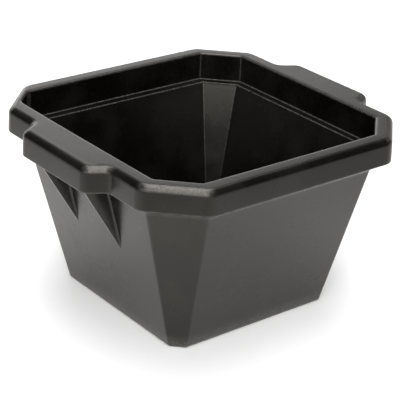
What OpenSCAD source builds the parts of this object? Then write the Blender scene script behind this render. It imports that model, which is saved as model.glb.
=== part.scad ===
// Mortar mixing tub: square, tapered, corners cut at 45 degrees, deep skirted
// rim and a grip tab on two opposite sides. One moulding, modelled as named
// regions that meet face to face. Millimetres, base on z = 0, grips on X.

/* [Body] */
// Overall height
height = 300; // [290:1:450]
// Base width across the flats
base_w = 299; // [180:1:420]
// Wall width across the flats at the step
wall_top_w = 432; // [300:1:600]
// Leg of the corner cut at the base
base_cut = 18; // [8:1:60]
// Leg of the corner cut at the step
wall_top_cut = 61; // [20:1:90]
// Wall thickness at the base
wall_t_low = 8; // [4:0.5:12]
// Wall thickness at the step
wall_t_high = 12; // [4:0.5:16]
// Floor thickness
floor_t = 7; // [4:0.5:14]
// Width of the bevel around the base
base_bevel = 4.5; // [1:0.5:8]
// Height of the bevel around the base
base_bevel_h = 6; // [1:0.5:12]

/* [Step and mouth] */
// Height of the inner step
step_z = 249; // [170:1:259]
// Thickness of the step
step_t = 4; // [3:0.5:8]
// Mouth width across the flats
mouth_w = 418; // [280:1:560]
// Leg of the mouth corner cut
mouth_cut = 50; // [20:1:90]
// Leg of the mouth corner cut at the back left corner
mouth_cut_back_left = 30; // [20:1:90]
// Thickness of the upright band above the step
band_t = 5; // [3:0.5:8]

/* [Rim] */
// Rim width across the flats
rim_w = 480; // [340:1:680]
// Leg of the rim corner cut
rim_cut = 70.5; // [30:0.5:120]
// Height of the skirt, rim top to skirt bottom
skirt_h = 39; // [20:0.5:80]
// Thickness of deck and skirt
rim_t = 4; // [2.5:0.5:6]
// Radius between deck and skirt
rim_r = 12; // [7:0.5:13]
// Plan radius of the rim corners
corner_r = 20; // [16:0.5:40]

/* [Grips] */
// How far a grip stands out from the rim
grip_out = 30.5; // [15:0.5:60]
// Length of the grip's outer face
grip_face_l = 164; // [100:1:260]
// Length of the grip where it leaves the rim
grip_root_l = 200; // [120:1:300]
// Plan radius of the grip's outer corners
grip_r = 16; // [15:0.5:30]
// Plan radius where the grip leaves the rim
root_r = 10; // [4:0.5:30]

/* [Ribs] */
// Spacing of the two ribs under a grip
rib_gap = 112; // [60:1:140]
// Rib thickness
rib_t = 8; // [2:0.5:8]
// Height of the rib's lower tip
rib_tip_z = 143; // [80:1:220]
// Height at which the rib's free edge meets the skirt
rib_top_z = 277; // [240:1:285]

/* [Hidden] */
body_c = [0.17, 0.16, 0.15];
rim_c = [0.22, 0.21, 0.20];
rib_c = [0.20, 0.19, 0.18];

deck_z = height - rim_t;
skirt_z = height - skirt_h;
wall_top_z = step_z - step_t;
// Steps round a bend in plan, and round the edge's own quarter circle
arc_steps = 8;
profile_steps = 8;
rim_a = rim_w / 2;
mouth_a = mouth_w / 2;
grip_a = rim_a + grip_out;

// Mouth cuts in the order of the corners: front left, front right, back right, back left
mouth_cuts = [mouth_cut, mouth_cut, mouth_cut, mouth_cut_back_left];
// A cut grows by this much for each millimetre an octagon is offset outwards
cut_per_offset = 2 - sqrt(2);

// ---- octagons: eight points, anticlockwise, starting at the left end of the front side ----
function octagon(a, c) = [
  [-a + c[0], -a], [a - c[1], -a], [a, -a + c[1]], [a, a - c[2]],
  [a - c[2], a], [-a + c[3], a], [-a, a - c[3]], [-a, -a + c[0]]
];
function offset_octagon(a, c, d) = octagon(a + d, [for (v = c) v + cut_per_offset * d]);
function ring_at(pts, z) = [for (p = pts) [p[0], p[1], z]];

// ---- tapered walls ----
// The corner edges of the inner skin lie in the same planes as those of the outer skin,
// so neighbouring panels share flat ends.
corner_lean = 0.417;
function mix(p, q, z) = p + (q - p) * z / step_z;
function wall_a(z) = mix(base_w, wall_top_w, z) / 2;
function wall_cut(z) = mix(base_cut, wall_top_cut, z);
function wall_t(z) = mix(wall_t_low, wall_t_high, z);
function skin(z, inset) =
  let (a = wall_a(z) - inset, c = wall_cut(z) - (1 + corner_lean) * inset)
  ring_at(octagon(a, [c, c, c, c]), z);

wall_rings = [
  skin(0, base_bevel), skin(base_bevel_h, 0), skin(wall_top_z, 0),
  skin(wall_top_z, wall_t(wall_top_z)), skin(0, wall_t_low)
];

// Solid between corner k and corner k + 1 of a closed loop of octagon rings
module ring_section(rings, k) {
  n = len(rings);
  polyhedron(
    points = [for (s = [k, k + 1]) for (r = rings) r[s % 8]],
    faces = concat(
      [[for (i = [n - 1:-1:0]) i], [for (i = [0:n - 1]) n + i]],
      [for (i = [0:n - 1]) [i, (i + 1) % n, n + (i + 1) % n, n + i]]
    )
  );
}

module wall(k) color(body_c) ring_section(wall_rings, k);

module floor_panel() color(body_c) {
  low = skin(0, wall_t_low);
  high = skin(floor_t, wall_t(floor_t));
  polyhedron(
    points = concat(low, high),
    faces = concat(
      [[for (i = [0:7]) i], [for (i = [7:-1:0]) 8 + i]],
      [for (i = [0:7]) [i, 8 + i, 8 + (i + 1) % 8, (i + 1) % 8]]
    )
  );
}

// ---- step and upright band: prisms cut from octagonal rings ----
module prism_section(inner, outer, k, z0, z1) {
  j = (k + 1) % 8;
  translate([0, 0, z0]) linear_extrude(z1 - z0) polygon([inner[k], inner[j], outer[j], outer[k]]);
}

step_in = [for (p = skin(wall_top_z, wall_t(wall_top_z))) [p[0], p[1]]];
step_out = offset_octagon(mouth_a, mouth_cuts, wall_top_w / 2 - mouth_a);
module step(k) color(body_c) prism_section(step_in, step_out, k, wall_top_z, step_z);

band_in = octagon(mouth_a, mouth_cuts);
band_out = offset_octagon(mouth_a, mouth_cuts, band_t);
module band(k) color(body_c) prism_section(band_in, band_out, k, step_z, deck_z);

// ---- rim: one cross-section swept round the plan outline, from the edge across the deck ----
// Outline corners, anticlockwise from the left end of the front side: [x, y, plan radius]
rim_path = concat(
  [[-rim_a + rim_cut, -rim_a, corner_r], [rim_a - rim_cut, -rim_a, corner_r],
   [rim_a, -rim_a + rim_cut, corner_r]],
  [[rim_a, -grip_root_l / 2, root_r], [grip_a, -grip_face_l / 2, grip_r],
   [grip_a, grip_face_l / 2, grip_r], [rim_a, grip_root_l / 2, root_r]],
  [[rim_a, rim_a - rim_cut, corner_r], [rim_a - rim_cut, rim_a, corner_r],
   [-rim_a + rim_cut, rim_a, corner_r], [-rim_a, rim_a - rim_cut, corner_r]],
  [[-rim_a, grip_root_l / 2, root_r], [-grip_a, grip_face_l / 2, grip_r],
   [-grip_a, -grip_face_l / 2, grip_r], [-rim_a, -grip_root_l / 2, root_r]],
  [[-rim_a, -rim_a + rim_cut, corner_r]]
);
path_n = len(rim_path);
function corner(i) = rim_path[(i + path_n) % path_n];
function at(i) = [corner(i)[0], corner(i)[1]];
function heading(i) = let (d = at(i + 1) - at(i)) atan2(d[1], d[0]);
function along(i) = [cos(heading(i)), sin(heading(i))];
function left_of(i) = [-sin(heading(i)), cos(heading(i))];
function turn(i) = let (t = heading(i) - heading(i - 1)) t > 180 ? t - 360 : t < -180 ? t + 360 : t;
function cut_back(i) = corner(i)[2] * tan(abs(turn(i)) / 2);
function bend(i) = turn(i) > 0 ? 1 : -1;
function bend_start(i) = at(i) - along(i - 1) * cut_back(i);
function bend_centre(i) = bend_start(i) + left_of(i - 1) * corner(i)[2] * bend(i);
// A point at step s of bend i, moved inwards by u
function bend_point(i, s, u) =
  let (a = heading(i - 1) - 90 * bend(i) + turn(i) * s / arc_steps)
  bend_centre(i) + (corner(i)[2] - u * bend(i)) * [cos(a), sin(a)];

// The edge's outer and inner faces as [distance in from the outer face, height]
function edge_arc(r) = [
  for (s = [0:profile_steps]) let (a = 180 - 90 * s / profile_steps)
  [rim_r + r * cos(a), height - rim_r + r * sin(a)]
];
edge_outer = concat([[0, skirt_z]], edge_arc(rim_r));
edge_inner = concat([[rim_t, skirt_z]], edge_arc(rim_r - rim_t));

// One ring: up the outside, across the deck to a point on the mouth, and back along the inside
function edge_point(i, s, p) = let (q = bend_point(i, s, p[0])) [q[0], q[1], p[1]];
function rim_ring(i, s, mouth) = concat(
  [for (p = edge_outer) edge_point(i, s, p)],
  [[mouth[0], mouth[1], height], [mouth[0], mouth[1], deck_z]],
  [for (k = [len(edge_inner) - 1:-1:0]) edge_point(i, s, edge_inner[k])]
);

// Closed run of rim through a list of places [bend, step], along one stretch of the mouth
module rim_run(places, mouth_from, mouth_to) color(rim_c) {
  last = len(places) - 1;
  rings = [for (j = [0:last])
    rim_ring(places[j][0], places[j][1], mouth_from + (mouth_to - mouth_from) * j / last)];
  n = len(rings[0]);
  end = last * n;
  polyhedron(
    points = [for (r = rings) each r],
    faces = concat(
      [for (k = [0:n / 2 - 2]) [n - 1 - k, n - 2 - k, k + 1, k]],
      [for (k = [0:n / 2 - 2]) [end + k, end + k + 1, end + n - 2 - k, end + n - 1 - k]],
      [for (j = [0:last - 1], k = [0:n - 1]) let (a = j * n, b = a + n, m = (k + 1) % n)
        [a + k, a + m, b + m, b + k]]
    )
  );
}
function bends(first, last) = [for (i = [first:last], s = [0:arc_steps]) [i, s]];

// A side run along the straight after bend i, a cut corner, and a grip with its four bends
module rim_side(i, mouth_from, mouth_to)
  rim_run([[i, arc_steps], [i + 1, 0]], mouth_from, mouth_to);
module rim_corner(i, k) rim_run(bends(i, i + 1), band_in[k], band_in[(k + 1) % 8]);
module grip(i, side) rim_run(bends(i, i + 3), grip_end(side, -side), grip_end(side, side));

// The point on the mouth where a grip begins
grip_y = grip_root_l / 2 + cut_back(3);
function grip_end(side_x, side_y) = [side_x * mouth_a, side_y * grip_y];

// ---- ribs under the grips ----
module rib(side, y) color(rib_c) {
  skirt_in = grip_a - rim_t;
  round_in = rim_r - rim_t;
  translate([0, y + rib_t / 2, 0]) rotate([90, 0, 0]) linear_extrude(rib_t)
    polygon([for (p = [
      [wall_a(rib_tip_z), rib_tip_z], [skirt_in, rib_top_z], [skirt_in, height - rim_r],
      [skirt_in - round_in, deck_z], [mouth_a + band_t, deck_z], [mouth_a + band_t, step_z],
      [wall_top_w / 2, step_z], [wall_top_w / 2, wall_top_z], [wall_a(wall_top_z), wall_top_z]
    ]) [side * p[0], p[1]]]);
}

floor_panel();
wall(0);  // wall_front
wall(2);  // wall_right
wall(4);  // wall_back
wall(6);  // wall_left
wall(1);  // corner_wall_fr
wall(3);  // corner_wall_br
wall(5);  // corner_wall_bl
wall(7);  // corner_wall_fl
step(0);  // step_front
step(2);  // step_right
step(4);  // step_back
step(6);  // step_left
step(1);  // step_corner_fr
step(3);  // step_corner_br
step(5);  // step_corner_bl
step(7);  // step_corner_fl
band(0);  // band_front
band(2);  // band_right
band(4);  // band_back
band(6);  // band_left
band(1);  // band_corner_fr
band(3);  // band_corner_br
band(5);  // band_corner_bl
band(7);  // band_corner_fl
rim_side(0, band_in[0], band_in[1]);  // rim_front
rim_side(2, band_in[2], grip_end(1, -1));  // rim_right_front
rim_side(6, grip_end(1, 1), band_in[3]);  // rim_right_back
rim_side(8, band_in[4], band_in[5]);  // rim_back
rim_side(10, band_in[6], grip_end(-1, 1));  // rim_left_back
rim_side(14, grip_end(-1, -1), band_in[7]);  // rim_left_front
rim_corner(1, 1);  // rim_corner_fr
rim_corner(7, 3);  // rim_corner_br
rim_corner(9, 5);  // rim_corner_bl
rim_corner(15, 7);  // rim_corner_fl
grip(3, 1);  // grip_right
grip(11, -1);  // grip_left
rib(-1, -rib_gap / 2);  // rib_left_front
rib(-1, rib_gap / 2);  // rib_left_back
rib(1, -rib_gap / 2);  // rib_right_front
rib(1, rib_gap / 2);  // rib_right_back
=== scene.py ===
from math import atan2, cos, pi, radians, sin, sqrt, tan

import bmesh
import bpy
from mathutils import Matrix, Vector


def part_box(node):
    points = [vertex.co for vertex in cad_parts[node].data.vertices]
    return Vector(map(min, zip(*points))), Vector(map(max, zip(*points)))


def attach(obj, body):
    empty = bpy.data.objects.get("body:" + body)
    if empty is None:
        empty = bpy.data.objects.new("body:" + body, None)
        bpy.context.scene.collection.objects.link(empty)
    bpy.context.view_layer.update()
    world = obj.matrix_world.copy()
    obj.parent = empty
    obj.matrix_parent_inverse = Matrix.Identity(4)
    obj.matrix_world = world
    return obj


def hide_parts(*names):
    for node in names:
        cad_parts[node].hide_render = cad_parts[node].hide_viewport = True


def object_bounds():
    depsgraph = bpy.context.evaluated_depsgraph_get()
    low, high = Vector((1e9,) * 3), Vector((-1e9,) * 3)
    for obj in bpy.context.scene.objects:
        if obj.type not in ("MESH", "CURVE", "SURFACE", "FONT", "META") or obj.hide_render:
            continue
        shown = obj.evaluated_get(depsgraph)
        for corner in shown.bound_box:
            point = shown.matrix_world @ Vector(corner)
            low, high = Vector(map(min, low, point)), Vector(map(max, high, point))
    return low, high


bl_info = {
    "name": "Mortar Mixing Tub",
    "version": (1, 0, 0),
    "blender": (4, 5, 0),
    "location": "3D View > Sidebar > Mixing Tub",
    "description": "Builds a moulded plastic mixing tub with a skirted rim and two ribbed grips",
    "category": "Add Mesh",
}

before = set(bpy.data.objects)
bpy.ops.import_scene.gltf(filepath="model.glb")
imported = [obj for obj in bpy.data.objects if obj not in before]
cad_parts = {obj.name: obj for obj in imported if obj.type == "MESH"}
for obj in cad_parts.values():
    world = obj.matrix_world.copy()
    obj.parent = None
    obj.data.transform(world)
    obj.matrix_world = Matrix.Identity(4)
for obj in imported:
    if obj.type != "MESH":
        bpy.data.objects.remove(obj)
CAD_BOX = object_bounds()

MM = 0.001
BODY = "root"
GRAINED = "grained_plastic"
# A share per point of pale paint: edge wear on rubbed edges, and painted highlight along the
# corners inside, the step's edges, the ribs' free edges and the rim's oblique roundings.
WEAR_AND_HIGHLIGHT = "wear_and_painted_highlight"
SHELL_NODES = ("floor_", "wall_", "corner_wall_", "step_", "band_")
RIM_NODES = ("rim_", "grip_")

# Steps round one rounded corner in plan, and extra points on the straight after each of the
# sixteen corners of the outline: front, right with its grip, back, left with its grip
BEND_STEPS = 6
RUN_POINTS = (9, 1, 2, 0, 9, 0, 2, 1, 9, 1, 2, 0, 9, 0, 2, 1)
# Places in the outline: the corners of the two grips, and the two beside the back left cut
GRIP_CORNERS = (3, 4, 5, 6, 11, 12, 13, 14)
BACK_LEFT = (9, 10)
# Half the length over which a corner that doesn't turn spreads its points
SPREAD = 6 * MM
# How much the leg of a 45 degree cut grows when its outline moves out by one
CUT_GROWTH = 2 - sqrt(2)
# Faces that meet at a larger angle than this are shaded as a crease
CREASE = radians(50)
# Rings between the foot and the top of a wall, and between the tip and the top of a rib
WALL_LEVELS = 12
RIB_LEVELS = 32
# The rings of the deck: how far each lies from mouth to edge, and its share of the groove's depth
DECK_RINGS = ((0.15, 0.0), (0.5, 0.0), (0.7, 0.1), (0.79, 0.7), (0.86, 1.0), (0.92, 0.6))
# Steps round the free edge of a rib, on each side of its middle
NOSE_STEPS = 3
# Directions in plan from the tub to the middles of the two pale cards
BEHIND = (0.35, 0.94)
BESIDE = (-0.82, -0.57)
# The first ring below the step's lower rounding, so close that the step's edge wear and painted
# highlight end there
WEAR_AND_HIGHLIGHT_END = 0.012


def edge(node, axis, side):
    """How far a CAD node reaches along an axis, on its low side (0) or its high side (1)."""
    return abs(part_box(node)[side][axis])


def length(name, description, default, smallest=0.0, largest=1.0):
    """A length that a user may change, in metres."""
    return bpy.props.FloatProperty(
        name=name, description=description, default=default,
        min=smallest, max=largest, unit="LENGTH",
    )


def factor(name, description, default, largest=1.0):
    """A plain number from nothing to a largest value."""
    return bpy.props.FloatProperty(
        name=name, description=description, default=default,
        min=0.0, max=largest, subtype="FACTOR",
    )


def colour(name, description, default):
    """A linear colour."""
    return bpy.props.FloatVectorProperty(
        name=name, description=description, default=default,
        min=0.0, max=1.0, size=3, subtype="COLOR",
    )


def angle(name, description, degrees):
    """An angle, given in degrees and kept in radians."""
    return bpy.props.FloatProperty(
        name=name, description=description, default=radians(degrees), subtype="ANGLE",
    )


class MixingTubShell(bpy.types.PropertyGroup):
    """Sizes of the tapered box below the rim."""

    base: length("Base", "Half the width of the base across the flats", 149.5 * MM)
    base_cut: length("Base Cut", "Leg of the corner cut at the base", 18 * MM)
    base_round: length("Base Rounding", "Height of the rounding round the base", 6 * MM)
    top: length("Wall Top", "Half the width at the step", edge("wall_front", 1, 0))
    top_cut: length("Top Cut", "Leg of the corner cut at the step", 61 * MM)
    corner_low: length("Low Corner Radius", "Corner radius at the base", 6 * MM)
    corner_high: length("High Corner Radius", "Corner radius at the step", 9 * MM)
    ledge_out: length("Ledge", "How far the ledge under the rim stands out", 4 * MM)
    ledge_low: length("Ledge Height", "Height at which the ledge begins", 241 * MM)
    step: length("Step Height", "Height of the inner step", edge("step_front", 2, 1))
    step_in: length("Step Edge", "Half the width between the edges of the step", 204 * MM)
    step_cut: length("Step Cut", "Leg of the corner cut at the step's edge", 39.5 * MM)
    floor: length("Floor", "Thickness of the floor", edge("floor_panel", 2, 1))
    floor_half: length("Floor Width", "Half the width of the floor inside", 141.5 * MM)
    floor_cut: length("Floor Cut", "Leg of the corner cut at the floor inside", 6 * MM)
    floor_round: length("Floor Rounding", "Radius between floor and walls", 9 * MM)
    inner_corner: length("Inner Corner Radius", "Radius of the corners inside", 3.5 * MM)
    step_rise: length("Step Rise", "How far the step rises from its edge to its root", 4.5 * MM)
    step_round: length("Step Rounding", "Radius of the step's edge and of its root", 1.8 * MM)
    band: length("Band Thickness", "Thickness of the band above the step", 5 * MM)


class MixingTubRim(bpy.types.PropertyGroup):
    """Sizes of the rim, its skirt and the mouth."""

    outer: length("Rim", "Half the width of the rim", edge("rim_front", 1, 0))
    cut: length("Rim Cut", "Leg of the rim's corner cut", 70.5 * MM)
    corner: length("Corner Radius", "Plan radius of the rim's corners", 28 * MM)
    top: length("Height", "Height of the rim", edge("rim_front", 2, 1))
    skirt: length("Skirt Bottom", "Height of the skirt's lower edge", edge("rim_front", 2, 0))
    sheet: length("Sheet", "Thickness of deck and skirt", 4 * MM)
    edge_round: length("Edge Radius", "Radius between deck and skirt", 11.5 * MM)
    flare: length("Flare", "How far the skirt spreads towards its lower edge", 0.8 * MM)
    lip: length("Lip Rounding", "Radius of the skirt's lower edges", 1.2 * MM)
    groove: length("Groove", "Depth of the shallow groove along the deck's edge", 0.12 * MM)
    mouth: length("Mouth", "Half the width of the mouth", edge("band_front", 1, 1))
    mouth_cut: length("Mouth Cut", "Leg of the mouth's corner cut", 48 * MM)
    mouth_cut_bl: length("Back Left Cut", "Leg of the cut at the back left corner", 30 * MM)
    mouth_corner: length("Mouth Corner Radius", "Plan radius of the mouth's corners", 3.5 * MM)
    mouth_turn: length("Back Left Radius", "Plan radius at the back left corner", 18 * MM)
    mouth_round: length("Mouth Rounding", "Height of the rounding of the mouth's edge", 2.4 * MM)
    mouth_ease: length("Mouth Easing", "Width of the rounding of the mouth's edge", 5 * MM)
    bow: length("Bow", "How far the mouth's sides bow outwards", 1.2 * MM)
    reach: length("Grip Reach", "Distance from the middle to a grip's face",
                  edge("grip_left", 0, 0))
    grip_face: length("Grip Face", "Half the length of a grip's face", 82 * MM)
    grip_root: length("Grip Root", "Half the length of a grip at the rim", 100 * MM)
    grip_corner: length("Grip Corner", "Plan radius of a grip's corners", 20 * MM)
    root_corner: length("Root Corner", "Plan radius where a grip leaves the rim", 13 * MM)


class MixingTubRib(bpy.types.PropertyGroup):
    """Sizes of the ribs under the grips."""

    thickness: length("Thickness", "Thickness of a rib at the wall", 8 * MM)
    edge: length("Edge Thickness", "Thickness of a rib at its free edge", 3.2 * MM)
    bevel: length("Bevel", "How far from the free edge a rib reaches its full thickness", 20 * MM)
    foot: length("Foot Radius", "Radius between a rib and the wall", 3.2 * MM)
    top: length("Rib Top", "Height at which a rib's free edge meets the skirt", 277 * MM)


class MixingTubFinish(bpy.types.PropertyGroup):
    """The moulded plastic."""

    dark: colour("Plastic", "Colour of the plastic", (0.0024, 0.0019, 0.0015))
    pale: colour("Bloom", "Colour where the surface is dull or rubbed", (0.014, 0.0120, 0.0102))
    # Pale colour for rubbed edges and for the painted highlights.
    scuff_and_highlight: colour("Scuffs", "Colour of rubbed edges", (0.15, 0.142, 0.132))
    sheen: colour("Sheen", "Tint of the shine", (1.0, 0.94, 0.87))
    roughness: factor("Roughness", "Roughness of the grained surface", 0.26)
    grain: length("Grain Size", "Size of the surface grain", 1.7 * MM)
    grain_depth: length("Grain Depth", "Depth of the surface grain", 0.08 * MM)
    wave: length("Wave Size", "Size of the slow unevenness of the walls", 90 * MM)
    wave_depth: length("Wave Depth", "Depth of the slow unevenness", 0.25 * MM)
    # How strongly the edge wear and the painted highlights are laid on.
    wear_and_highlight: factor("Edge Wear", "How much the edges are rubbed", 0.8)


class MixingTubStage(bpy.types.PropertyGroup):
    """Floor, light and camera."""

    # The floor's two colours paint a pool of light: pale on a path under the tub, darker farther
    # off.
    floor_painted_light: colour("Floor", "Colour of the floor round the tub", (0.90, 0.90, 0.90))
    floor_painted_shade: colour("Outer Floor", "Colour of the floor farther off", (0.47, 0.47, 0.47))
    floor_glow: factor("Floor Glow", "Light that comes up through the floor", 0.22, 5.0)
    floor_radius: length("Floor Radius", "Radius of the floor", 25.0, largest=100.0)
    dim: factor("Dim Surround", "Brightness of the room", 0.07, 5.0)
    card: factor("Cards", "Brightness of the pale cards behind and beside the tub", 1.5, 5.0)
    card_height: angle("Card Height", "How high the cards reach above the horizon", 29)
    key: factor("Key Light", "Brightness of the long light overhead", 4.6, 20.0)
    azimuth: angle("Azimuth", "Where the camera stands round the tub", -38.856)
    elevation: angle("Elevation", "How far the camera looks down", 25.03)
    roll: angle("Roll", "How far the camera is turned about its view", 2.4735)
    distance: length("Distance", "From the camera to the tub's middle", 2.3294, largest=10.0)
    lens: bpy.props.FloatProperty(
        name="Lens", description="Focal length", default=134.7, unit="CAMERA",
    )
    shift_x: bpy.props.FloatProperty(name="Shift X", description="Framing", default=0.0050)
    shift_y: bpy.props.FloatProperty(name="Shift Y", description="Framing", default=0.0012)


# ---- plan outlines ----


def octagon(half, cuts, radius, rim):
    """Sixteen corners (x, y, radius): an octagon, with eight more that lie flat on its sides."""
    front_left, front_right, back_right, back_left = cuts
    root, face = rim.grip_root, rim.grip_face
    return [
        (-half + front_left, -half, radius), (half - front_right, -half, radius),
        (half, -half + front_right, radius),
        (half, -root, 0), (half, -face, 0), (half, face, 0), (half, root, 0),
        (half, half - back_right, radius),
        (half - back_right, half, radius), (-half + back_left, half, radius),
        (-half, half - back_left, radius),
        (-half, root, 0), (-half, face, 0), (-half, -face, 0), (-half, -root, 0),
        (-half, -half + front_left, radius),
    ]


def rim_outline(rim):
    """The rim's outline with a grip on each side."""
    corners = octagon(rim.outer, (rim.cut,) * 4, rim.corner, rim)
    for i in GRIP_CORNERS:
        x, y, _ = corners[i]
        stands_out = abs(y) < rim.grip_root
        side = 1 if x > 0 else -1
        corners[i] = (
            side * (rim.reach if stands_out else rim.outer), y,
            rim.grip_corner if stands_out else rim.root_corner,
        )
    return corners


def bend(before, here, after, inset):
    """Points round one corner, moved inwards; a corner that doesn't turn spreads along its side."""
    x, y, radius = here
    way_in = Vector((x - before[0], y - before[1])).normalized()
    way_out = Vector((after[0] - x, after[1] - y)).normalized()
    turn = atan2(way_in.cross(way_out), way_in.dot(way_out))
    steps = range(BEND_STEPS + 1)
    if abs(turn) < 1e-6:
        return [Vector((x, y)) + way_in * SPREAD * (2 * s / BEND_STEPS - 1) for s in steps]
    side = 1 if turn > 0 else -1
    left = Vector((-way_in.y, way_in.x))
    centre = Vector((x, y)) - way_in * radius * tan(abs(turn) / 2) + left * radius * side
    start = atan2(-left.y * side, -left.x * side)
    reach = radius - inset * side
    angles = [start + turn * s / BEND_STEPS for s in steps]
    return [centre + reach * Vector((cos(a), sin(a))) for a in angles]


def loop(corners, inset=0.0):
    """A closed ring in plan from rounded corners, with extra points along its straight runs."""
    count = len(corners)
    bends = [
        bend(corners[i - 1], corners[i], corners[(i + 1) % count], inset)
        for i in range(count)
    ]
    points = []
    for i, extra in enumerate(RUN_POINTS):
        points += bends[i]
        start, end = bends[i][-1], bends[(i + 1) % count][0]
        points += [start.lerp(end, k / (extra + 1)) for k in range(1, extra + 1)]
    return points


def corner_wear_and_highlight(share):
    """The edge wear and painted highlight of each point of a loop, at its real corners only: pale
    paint, partly wear, partly a painted highlight for the bright lines the light draws on the
    corners inside.
    """
    shares = []
    for i, extra in enumerate(RUN_POINTS):
        wear_and_highlight_mark = 0.0 if i in GRIP_CORNERS else share
        shares += [wear_and_highlight_mark * sin(pi * s / BEND_STEPS) for s in range(BEND_STEPS + 1)]
        shares += [0.0] * extra
    return shares


def oblique_painted_highlight(share):
    """The painted highlight of each point of a loop, along its oblique runs only: pale paint where
    the rounded edge turns towards the light overhead.
    """
    shares = []
    for i, extra in enumerate(RUN_POINTS):
        before = share if (i - 1) % 2 else 0.0
        after = share if i % 2 else 0.0
        turn = range(BEND_STEPS + 1)
        shares += [before + (after - before) * s / BEND_STEPS for s in turn]
        shares += [after] * extra
    return shares


def bowed(points, half, amount):
    """The ring with each of its four sides bowed outwards."""
    reach = half - 2 * SPREAD
    out = []
    for x, y in points:
        if abs(y) >= half - 1e-6:
            y += amount * (1 - (x / reach) ** 2) * (1 if y > 0 else -1)
        elif abs(x) >= half - 1e-6:
            x += amount * (1 - (y / reach) ** 2) * (1 if x > 0 else -1)
        out.append(Vector((x, y)))
    return out


def mixed(first, second, t):
    """The ring part of the way from one ring to another."""
    return [p.lerp(q, t) for p, q in zip(first, second)]


def quarter(steps):
    """Sine and cosine of even steps from 0 to 90 degrees, both ends included."""
    return [(sin(pi / 2 * s / steps), cos(pi / 2 * s / steps)) for s in range(steps + 1)]


# ---- meshes ----


class Rings:
    """A run of rings of equal length, each with a height and a share of edge wear and painted
    highlight.
    """

    def __init__(self):
        self.rings = []

    def add(self, points, z, wear_and_highlight=0.0):
        shares = wear_and_highlight if isinstance(wear_and_highlight, list) else [wear_and_highlight] * len(points)
        self.rings.append(([(p[0], p[1], z) for p in points], shares))

    def mesh(self, name, joined):
        """A closed mesh: the last ring joins the first, or both ends close to a point."""
        bm = bmesh.new()
        layer = bm.verts.layers.float.new(WEAR_AND_HIGHLIGHT)
        rows = []
        for points, shares in self.rings:
            row = [bm.verts.new(p) for p in points]
            for v, share in zip(row, shares):
                v[layer] = share
            rows.append(row)
        pairs = list(zip(rows, rows[1:]))
        if joined:
            pairs.append((rows[-1], rows[0]))
        for low, high in pairs:
            for k in range(len(low)):
                m = (k + 1) % len(low)
                bm.faces.new((low[k], low[m], high[m], high[k]))
        if not joined:
            for row in (rows[0], rows[-1]):
                middle = sum((v.co for v in row), Vector()) / len(row)
                centre = bm.verts.new(middle)
                for k in range(len(row)):
                    bm.faces.new((row[k], row[(k + 1) % len(row)], centre))
        bmesh.ops.recalc_face_normals(bm, faces=bm.faces)
        mesh = bpy.data.meshes.new(name)
        bm.to_mesh(mesh)
        bm.free()
        mesh.shade_smooth()
        mesh.set_sharp_from_angle(angle=CREASE)
        return mesh


def place(name, mesh, replaced):
    """The piece in the scene, finished, on its body and in the place of its CAD nodes."""
    piece = bpy.data.objects.new(name, mesh)
    bpy.context.scene.collection.objects.link(piece)
    mesh.materials.append(plastic())
    normals = piece.modifiers.new("Even shading", "WEIGHTED_NORMAL")
    normals.keep_sharp = True
    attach(piece, BODY)
    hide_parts(*replaced)
    return piece


def nodes_named(*starts):
    """The CAD nodes whose names start so."""
    return sorted(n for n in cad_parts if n.startswith(starts))


def cuts_of(size, back_left=None):
    """The four corner cuts in order, with the back left one apart."""
    return (size, size, size, size if back_left is None else back_left)


def mouth_ring(rim, out):
    """The mouth's ring, moved outwards."""
    grow = CUT_GROWTH * out
    half = rim.mouth + out
    corners = octagon(half, cuts_of(rim.mouth_cut + grow, rim.mouth_cut_bl + grow),
                      rim.mouth_corner + out, rim)
    for i in BACK_LEFT:
        corners[i] = (*corners[i][:2], rim.mouth_turn + out)
    return bowed(loop(corners), half, rim.bow)


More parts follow.
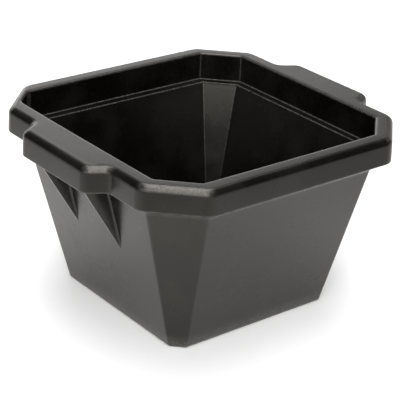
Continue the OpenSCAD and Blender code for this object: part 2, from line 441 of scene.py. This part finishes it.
class MESH_OT_mixing_tub_shell(bpy.types.Operator):
    """Build the tapered box: base, walls, ledge, band, inner step, inner walls and floor"""

    bl_idname = "mesh.mixing_tub_shell"
    bl_label = "Shell"

    def execute(self, context):
        shell, rim = context.scene.mixing_tub_shell, context.scene.mixing_tub_rim
        rings = Rings()
        self.outside(rings, shell, rim)
        self.inside(rings, shell, rim)
        place("tub_shell", rings.mesh("tub_shell", joined=False), nodes_named(*SHELL_NODES))
        return {"FINISHED"}

    def wall(self, shell, rim, z, out=0.0):
        """The outer wall's ring at a height."""
        t = z / shell.step
        half = shell.base + (shell.top - shell.base) * t + out
        cut = shell.base_cut + (shell.top_cut - shell.base_cut) * t + CUT_GROWTH * out
        radius = shell.corner_low + (shell.corner_high - shell.corner_low) * t + out
        return loop(octagon(half, cuts_of(cut), radius, rim))

    def outside(self, rings, shell, rim):
        """From the middle of the base up to the top of the band."""
        inset = shell.base_round * 0.8
        foot = self.wall(shell, rim, 0, -inset)
        for t in (0.15, 0.4, 0.7, 0.9):
            rings.add([p * t for p in foot], 0.0)
        for s, c in quarter(5):
            ring = self.wall(shell, rim, shell.base_round * (1 - c), -inset * (1 - s))
            rings.add(ring, shell.base_round * (1 - c), 0.6 * s)
        for k in range(1, WALL_LEVELS + 1):
            z = shell.base_round + (shell.ledge_low - shell.base_round) * k / WALL_LEVELS
            rings.add(self.wall(shell, rim, z), z)
        height = shell.step - shell.ledge_low
        for s, c in quarter(4)[1:]:
            z = shell.ledge_low + height * s
            rings.add(self.wall(shell, rim, z, shell.ledge_out * (1 - c)), z, 0.3 * s)
        outer = self.wall(shell, rim, shell.step, shell.ledge_out)
        rings.add(outer, shell.step + 3 * MM)
        rings.add(mouth_ring(rim, shell.band), shell.step + 12 * MM)
        rings.add(mouth_ring(rim, shell.band), rim.top - rim.sheet)

    def inside(self, rings, shell, rim):
        """From the top of the band down over the step to the middle of the floor."""
        mouth = mouth_ring(rim, 0)
        # Pale paint down the inner corners: partly edge wear, partly a painted highlight for the
        # bright lines the light draws on them.
        corners = corner_wear_and_highlight(0.7)
        root = shell.step + shell.step_rise
        rings.add(mouth, rim.top - rim.sheet, corners)
        rings.add(mouth, root + 3 * shell.step_round, corners)
        edge_of_step = loop(octagon(shell.step_in, cuts_of(shell.step_cut),
                                    shell.inner_corner, rim))
        gap = rim.mouth - shell.step_in
        share = shell.step_round / gap
        # A pale band on the step's edge and on its root: a painted highlight for the bright lines
        # there, partly edge wear.
        for s, c in quarter(4):
            rings.add(mixed(mouth, edge_of_step, share * (1 - c)),
                      root + shell.step_round * (1 - s), 2 * s * c)
        for s, c in quarter(4):
            rings.add(mixed(mouth, edge_of_step, 1 - share + share * s),
                      shell.step - shell.step_round * (1 - c), 2 * s * c)
        top = shell.step - shell.step_round
        low = shell.floor + shell.floor_round
        floor_ring = loop(octagon(shell.floor_half, cuts_of(shell.floor_cut),
                                  shell.inner_corner, rim))
        for down in [WEAR_AND_HIGHLIGHT_END] + [k / WALL_LEVELS for k in range(1, WALL_LEVELS + 1)]:
            z = top + (low - top) * down
            t = (top - z) / (top - shell.floor)
            # Pale paint at the inner corners, fading down the walls: partly edge wear, partly
            # painted highlight.
            rings.add(mixed(edge_of_step, floor_ring, t), z, corner_wear_and_highlight(0.9 * (1 - t)))
        foot = mixed(edge_of_step, floor_ring, (top - low) / (top - shell.floor))
        inner = 1 - shell.floor_round / shell.floor_half
        for s, c in quarter(5)[1:]:
            scale = 1 - (1 - inner) * (1 - c)
            rings.add([p * scale for p in foot], low - shell.floor_round * s)
        for t in (0.85, 0.6, 0.35, 0.12):
            rings.add([p * inner * t for p in foot], shell.floor)


class MESH_OT_mixing_tub_rim(bpy.types.Operator):
    """Build the rim: mouth edge, deck, rounded edge and skirt, with a grip on each side"""

    bl_idname = "mesh.mixing_tub_rim"
    bl_label = "Rim and Grips"

    def execute(self, context):
        shell, rim = context.scene.mixing_tub_shell, context.scene.mixing_tub_rim
        outline = rim_outline(rim)
        rings = Rings()
        deck_low = rim.top - rim.sheet
        mouth = mouth_ring(rim, 0)
        rings.add(mouth, deck_low)
        for s, c in quarter(6):
            rings.add(mouth_ring(rim, rim.mouth_ease * (1 - c)),
                      rim.top - rim.mouth_round * (1 - s), 0.6 * c)
        self.deck(rings, rim, mouth_ring(rim, rim.mouth_ease), outline)
        self.edge(rings, rim, outline)
        inner = loop(outline, rim.edge_round)
        band = mouth_ring(rim, shell.band)
        for t in (0.0, 0.5, 1.0):
            rings.add(mixed(inner, band, t), deck_low)
        place("rim_with_grips", rings.mesh("rim_with_grips", joined=True),
              nodes_named(*RIM_NODES))
        return {"FINISHED"}

    def deck(self, rings, rim, inner, outline):
        """The deck, with a shallow groove along its edge."""
        outer = loop(outline, rim.edge_round)
        for t, drop in DECK_RINGS:
            rings.add(mixed(inner, outer, t), rim.top - rim.groove * drop)

    def edge(self, rings, rim, outline):
        """Round the edge, down the skirt, round its lower edge and back up inside."""
        top = rim.top
        radius = rim.edge_round
        low = rim.skirt
        for s, c in quarter(10):
            z = top - radius * (1 - c)
            inset = radius * (1 - s) + rim.flare
            # Pale paint on the rounding where it faces the light overhead, along the oblique runs
            # only: a painted highlight, broken into specks by the finish's flecks.
            rings.add(loop(outline, inset), z, oblique_painted_highlight(2.4 * s * c * c))
        rings.add(loop(outline, rim.flare * 0.35), low + 12 * MM)
        rings.add(loop(outline, rim.flare * 0.1), low + 3 * MM)
        for s, c in quarter(3):
            rings.add(loop(outline, rim.lip * (1 - c)), low + rim.lip * (1 - s), 0.5)
        for s, c in quarter(3):
            rings.add(loop(outline, rim.sheet - rim.lip * (1 - s)),
                      low + rim.lip * (1 - c), 0.4)
        inner_radius = radius - rim.sheet
        for s, c in quarter(5):
            rings.add(loop(outline, radius - inner_radius * c),
                      rim.top - radius + inner_radius * s)


class MESH_OT_mixing_tub_ribs(bpy.types.Operator):
    """Build the four triangular ribs that carry the grips"""

    bl_idname = "mesh.mixing_tub_ribs"
    bl_label = "Ribs"

    def execute(self, context):
        for name in nodes_named("rib_"):
            low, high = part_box(name)
            side = 1 if low.x > 0 else -1
            middle = (low.y + high.y) / 2
            rings = self.rings(context.scene, side, middle, low.z)
            place("grip_" + name, rings.mesh(name, joined=False), [name])
        return {"FINISHED"}

    def rings(self, scene, side, middle, tip):
        """Level sections of one rib, from its tip in the wall to the deck."""
        shell, rim, rib = scene.mixing_tub_shell, scene.mixing_tub_rim, scene.mixing_tub_rib
        slope = (shell.top - shell.base) / shell.step
        reach = rim.reach - rim.sheet / 2
        wall_at_tip = shell.base + slope * tip
        lean = (reach - wall_at_tip) / (rib.top - tip)
        rings = Rings()
        ceiling = rim.top - rim.sheet / 2
        radius = rim.edge_round - rim.sheet / 2
        turn_z, turn_x = ceiling - radius, reach - radius
        for k in range(RIB_LEVELS + 1):
            z = tip + (ceiling - tip) * (k / RIB_LEVELS) ** 1.3
            wall = shell.base + slope * min(z, shell.step)
            over = min(max(z - turn_z, 0), radius)
            free = min(wall_at_tip + lean * (z - tip), turn_x + sqrt(radius ** 2 - over ** 2))
            ring = self.section(rib, side, middle, wall, free)
            middle_place = len(ring) // 2
            nose = range(middle_place - NOSE_STEPS, middle_place + NOSE_STEPS)
            # Pale paint along the rib's free edge: a painted highlight for the bright line the
            # light draws there.
            rings.add(ring, z, [0.7 if i in nose else 0.0 for i in range(len(ring))])
        return rings

    def section(self, rib, side, middle, wall, free):
        """One level section: a flared foot in the wall, flat flanks and a round free edge."""
        depth = max(free - wall, 0.0)
        foot = min(rib.foot, depth * 0.5)
        nose = min(0.5 * MM, depth * 0.2)
        span = max(depth - foot - nose, 0.0)

        def half(from_edge):
            share = min(from_edge / rib.bevel, 1.0)
            return (rib.edge + (rib.thickness - rib.edge) * (2 - share) * share) / 2

        root = half(span)
        flank = [(-3 * MM, root + foot)]
        flank += [(foot * (1 - c), root + foot * (1 - s)) for s, c in quarter(4)]
        flank += [(foot + span * t, half(span * (1 - t))) for t in (0.2, 0.4, 0.6, 0.8, 1.0)]
        tip = half(0)
        flank += [
            (depth - nose + nose * s, tip - nose * (1 - c))
            for s, c in quarter(NOSE_STEPS)[1:]
        ]
        across = flank + [(x, -y) for x, y in reversed(flank)]
        return [(side * (wall + x), middle + y) for x, y in across]


# ---- material ----


class Wire:
    """A socket of a node tree; arithmetic on wires and numbers adds Math nodes."""

    def __init__(self, tree, socket):
        self.tree = tree
        self.socket = socket

    def math(self, operation, first, second):
        return node(self.tree, "ShaderNodeMath", {"operation": operation}, [first, second])

    def __add__(self, other):
        return self.math("ADD", self, other)

    def __radd__(self, other):
        return self.math("ADD", other, self)

    def __sub__(self, other):
        return self.math("SUBTRACT", self, other)

    def __rsub__(self, other):
        return self.math("SUBTRACT", other, self)

    def __mul__(self, other):
        return self.math("MULTIPLY", self, other)

    def __rmul__(self, other):
        return self.math("MULTIPLY", other, self)

    def __truediv__(self, other):
        return self.math("DIVIDE", self, other)

    def __rtruediv__(self, other):
        return self.math("DIVIDE", other, self)


def socket_of(sockets, key):
    """A socket by its place, or by its name among those in use."""
    if isinstance(key, int):
        return sockets[key]
    return next(s for s in sockets if s.name == key and s.enabled)


def node(tree, kind, settings=None, inputs=None, output=0):
    """Adds a node, sets its settings, then its sockets, and returns one output as a wire."""
    made = tree.nodes.new(kind)
    for name, value in (settings or {}).items():
        if name == "stops":
            ramp = made.color_ramp
            for element, (position, shade) in zip(ramp.elements, value):
                element.position = position
                element.color = (shade, shade, shade, 1)
        else:
            setattr(made, name, value)
    pairs = inputs.items() if isinstance(inputs, dict) else enumerate(inputs or [])
    for key, value in pairs:
        if isinstance(value, Wire):
            tree.links.new(value.socket, socket_of(made.inputs, key))
        else:
            socket_of(made.inputs, key).default_value = value
    return Wire(tree, socket_of(made.outputs, output)) if made.outputs else None


def plastic():
    """The finish of every piece: dark moulded plastic with a fine grain."""
    known = bpy.data.materials.get(GRAINED)
    if known:
        return known
    finish = bpy.context.scene.mixing_tub_finish
    material = bpy.data.materials.new(GRAINED)
    material.use_nodes = True
    tree = material.node_tree
    tree.nodes.clear()
    where = node(tree, "ShaderNodeTexCoord", output="Object")

    def noise(size, detail, rough=0.5):
        return node(tree, "ShaderNodeTexNoise", None, {
            "Vector": where, "Scale": 1 / size, "Detail": detail, "Roughness": rough,
        })

    def ramp(value, low, high):
        return node(tree, "ShaderNodeValToRGB", {"stops": ((low, 0), (high, 1))}, [value])

    patches = ramp(noise(70 * MM, 4), 0.42, 0.68)
    specks = ramp(noise(4 * MM, 2), 0.60, 0.72)
    pebble = node(tree, "ShaderNodeTexVoronoi", {"feature": "SMOOTH_F1"}, {
        "Vector": where, "Scale": 1 / finish.grain, "Smoothness": 0.6,
    })
    fine = noise(finish.grain * 0.45, 3, 0.6)
    # Pale paint from the mesh: edge wear, and painted highlights where light catches corners and
    # edges.
    wear_and_highlight_mark = node(tree, "ShaderNodeAttribute", {"attribute_name": WEAR_AND_HIGHLIGHT}, output="Fac")
    # Fine flecks that break the pale paint into specks: grainy painted highlights, and speckled
    # rubbed edges.
    highlight_and_wear_flecks = ramp(noise(1.8 * MM, 2), 0.46, 0.60)
    worn_and_highlit = wear_and_highlight_mark * ramp(noise(9 * MM, 5, 0.65), 0.22, 0.50) * finish.wear_and_highlight
    worn_and_highlit = worn_and_highlit * (0.35 + highlight_and_wear_flecks * 0.65)

    def blend(factor, first, second):
        return node(tree, "ShaderNodeMix", {"data_type": "RGBA"},
                    {"Factor": factor, "A": first, "B": second}, output="Result")

    plain = blend(patches * 0.4 + specks * 0.5, (*finish.dark, 1), (*finish.pale, 1))
    base = blend(worn_and_highlit, plain, (*finish.scuff_and_highlight, 1))
    rough = finish.roughness + patches * 0.08 + worn_and_highlit * 0.08 - fine * 0.04
    waves = node(tree, "ShaderNodeBump", None, {
        "Height": noise(finish.wave, 2), "Distance": finish.wave_depth, "Strength": 1.0,
    })
    grain = node(tree, "ShaderNodeBump", None, {
        "Height": pebble * 0.6 + fine * 0.6, "Distance": finish.grain_depth,
        "Strength": 1.0, "Normal": waves,
    })
    shader = node(tree, "ShaderNodeBsdfPrincipled", None, {
        "Base Color": base, "Roughness": rough, "Normal": grain, "IOR": 1.5,
        "Specular Tint": (*finish.sheen, 1),
    })
    node(tree, "ShaderNodeOutputMaterial", None, {"Surface": shader})
    return material


# ---- stage ----


def ways(stage):
    """The camera's sideways direction, level, and the plan of its direction of view."""
    a, e = stage.azimuth, stage.elevation
    return (cos(a), sin(a)), (-sin(a) * cos(e), cos(a) * cos(e))


def opposite(way):
    """The other way."""
    return (-way[0], -way[1])


def floor_with_painted_light(stage):
    """A wide round floor at the tub's foot, with a painted pool of light: palest, and glowing most,
    on a broad path under the tub.
    """
    bm = bmesh.new()
    bmesh.ops.create_circle(bm, cap_ends=True, segments=96, radius=stage.floor_radius)
    mesh = bpy.data.meshes.new("floor")
    bm.to_mesh(mesh)
    bm.free()
    floor = bpy.data.objects.new("floor", mesh)
    bpy.context.scene.collection.objects.link(floor)
    material = bpy.data.materials.new("floor_painted_light_material")
    material.use_nodes = True
    tree = material.node_tree
    tree.nodes.clear()
    spot = node(tree, "ShaderNodeTexCoord", output="Object")

    sideways, ahead = ways(stage)

    def fade(way, start, end):
        along = node(tree, "ShaderNodeVectorMath", {"operation": "DOT_PRODUCT"},
                     [spot, (*way, 0)], output="Value")
        return node(tree, "ShaderNodeMapRange", {"interpolation_type": "SMOOTHSTEP"}, {
            "Value": along, "From Min": start, "From Max": end,
        })

    # A painted pool of light along the strip of the long light overhead: pale floor under the tub,
    # darker farther off; the floor's glow follows it.
    painted_light_path = fade(sideways, 0.90, 0.34) * fade(opposite(sideways), 1.20, 0.50)
    painted_light_path = painted_light_path * fade(ahead, -1.00, -0.42)
    shade = node(tree, "ShaderNodeMix", {"data_type": "RGBA"}, {
        "Factor": painted_light_path, "A": (*stage.floor_painted_shade, 1), "B": (*stage.floor_painted_light, 1),
    }, output="Result")
    surface = node(tree, "ShaderNodeBsdfPrincipled", None, {
        "Base Color": shade, "Roughness": 0.9, "Specular IOR Level": 0.0,
        "Emission Color": shade, "Emission Strength": stage.floor_glow,
    })
    node(tree, "ShaderNodeOutputMaterial", None, {"Surface": surface})
    mesh.materials.append(material)


def surround(stage):
    """A dim room with two pale cards and a long soft light from the back to the front overhead."""
    world = bpy.data.worlds.new("surround")
    bpy.context.scene.world = world
    world.use_nodes = True
    tree = world.node_tree
    tree.nodes.clear()
    view = node(tree, "ShaderNodeTexCoord", output="Generated")
    sideways, ahead = ways(stage)

    def smooth(value, start, end):
        return node(tree, "ShaderNodeMapRange", {"interpolation_type": "SMOOTHSTEP"}, {
            "Value": value, "From Min": start, "From Max": end,
        })

    def facing(way):
        return node(tree, "ShaderNodeVectorMath", {"operation": "DOT_PRODUCT"},
                    [view, (*way, 0)], output="Value")

    height = node(tree, "ShaderNodeSeparateXYZ", None, [view], output="Z")
    low = smooth(height, sin(stage.card_height + radians(6)), sin(stage.card_height))
    behind = smooth(facing(BEHIND), 0.76, 0.96)
    beside = smooth(facing(BESIDE), 0.62, 0.80)
    across = node(tree, "ShaderNodeMath", {"operation": "ABSOLUTE"}, [facing(sideways)])
    key = smooth(across, 0.36, 0.18) * smooth(facing(ahead), 0.72, 0.35)
    key = key * smooth(height, 0.15, 0.50)
    glow = stage.dim + (behind + beside) * low * stage.card + key * stage.key
    light = node(tree, "ShaderNodeBackground", None, {"Color": glow})
    node(tree, "ShaderNodeOutputWorld", None, {"Surface": light})


class MESH_OT_mixing_tub_stage(bpy.types.Operator):
    """Set up a pale floor with a painted pool of light, soft light and the camera"""

    bl_idname = "mesh.mixing_tub_stage"
    bl_label = "Stage"

    def execute(self, context):
        stage = context.scene.mixing_tub_stage
        low, high = CAD_BOX
        middle = Vector((0, 0, (low.z + high.z) / 2))
        floor_with_painted_light(stage)
        surround(stage)
        self.camera(context.scene, stage, middle)
        context.scene.view_settings.view_transform = "Standard"
        return {"FINISHED"}

    def camera(self, scene, stage, middle):
        """A camera that looks at the tub's middle."""
        a, e, r = stage.azimuth, stage.elevation, stage.roll
        back = Vector((sin(a) * cos(e), -cos(a) * cos(e), sin(e)))
        level = Vector((cos(a), sin(a), 0))
        rise = back.cross(level)
        right = cos(r) * level + sin(r) * rise
        up = -sin(r) * level + cos(r) * rise
        data = bpy.data.cameras.new("camera")
        data.lens = stage.lens
        data.shift_x, data.shift_y = stage.shift_x, stage.shift_y
        camera = bpy.data.objects.new("camera", data)
        turn = Matrix((right, up, back)).transposed().to_4x4()
        camera.matrix_world = Matrix.Translation(middle + back * stage.distance) @ turn
        scene.collection.objects.link(camera)
        scene.camera = camera


class VIEW3D_PT_mixing_tub(bpy.types.Panel):
    """The steps that build the tub, in order"""

    bl_label = "Mixing Tub"
    bl_space_type = "VIEW_3D"
    bl_region_type = "UI"
    bl_category = "Mixing Tub"

    def draw(self, context):
        for step in STEPS:
            self.layout.operator(step.bl_idname)


SETTINGS = {
    "mixing_tub_shell": MixingTubShell,
    "mixing_tub_rim": MixingTubRim,
    "mixing_tub_rib": MixingTubRib,
    "mixing_tub_finish": MixingTubFinish,
    "mixing_tub_stage": MixingTubStage,
}
STEPS = (
    MESH_OT_mixing_tub_stage,
    MESH_OT_mixing_tub_shell,
    MESH_OT_mixing_tub_rim,
    MESH_OT_mixing_tub_ribs,
)


def register():
    for name, group in SETTINGS.items():
        bpy.utils.register_class(group)
        setattr(bpy.types.Scene, name, bpy.props.PointerProperty(type=group))
    for step in STEPS:
        bpy.utils.register_class(step)
    bpy.utils.register_class(VIEW3D_PT_mixing_tub)


def unregister():
    bpy.utils.unregister_class(VIEW3D_PT_mixing_tub)
    for step in reversed(STEPS):
        bpy.utils.unregister_class(step)
    for name, group in reversed(SETTINGS.items()):
        delattr(bpy.types.Scene, name)
        bpy.utils.unregister_class(group)


def main():
    register()
    bpy.ops.mesh.mixing_tub_stage()
    bpy.ops.mesh.mixing_tub_shell()
    bpy.ops.mesh.mixing_tub_rim()
    bpy.ops.mesh.mixing_tub_ribs()


if __name__ == "__main__":
    main()
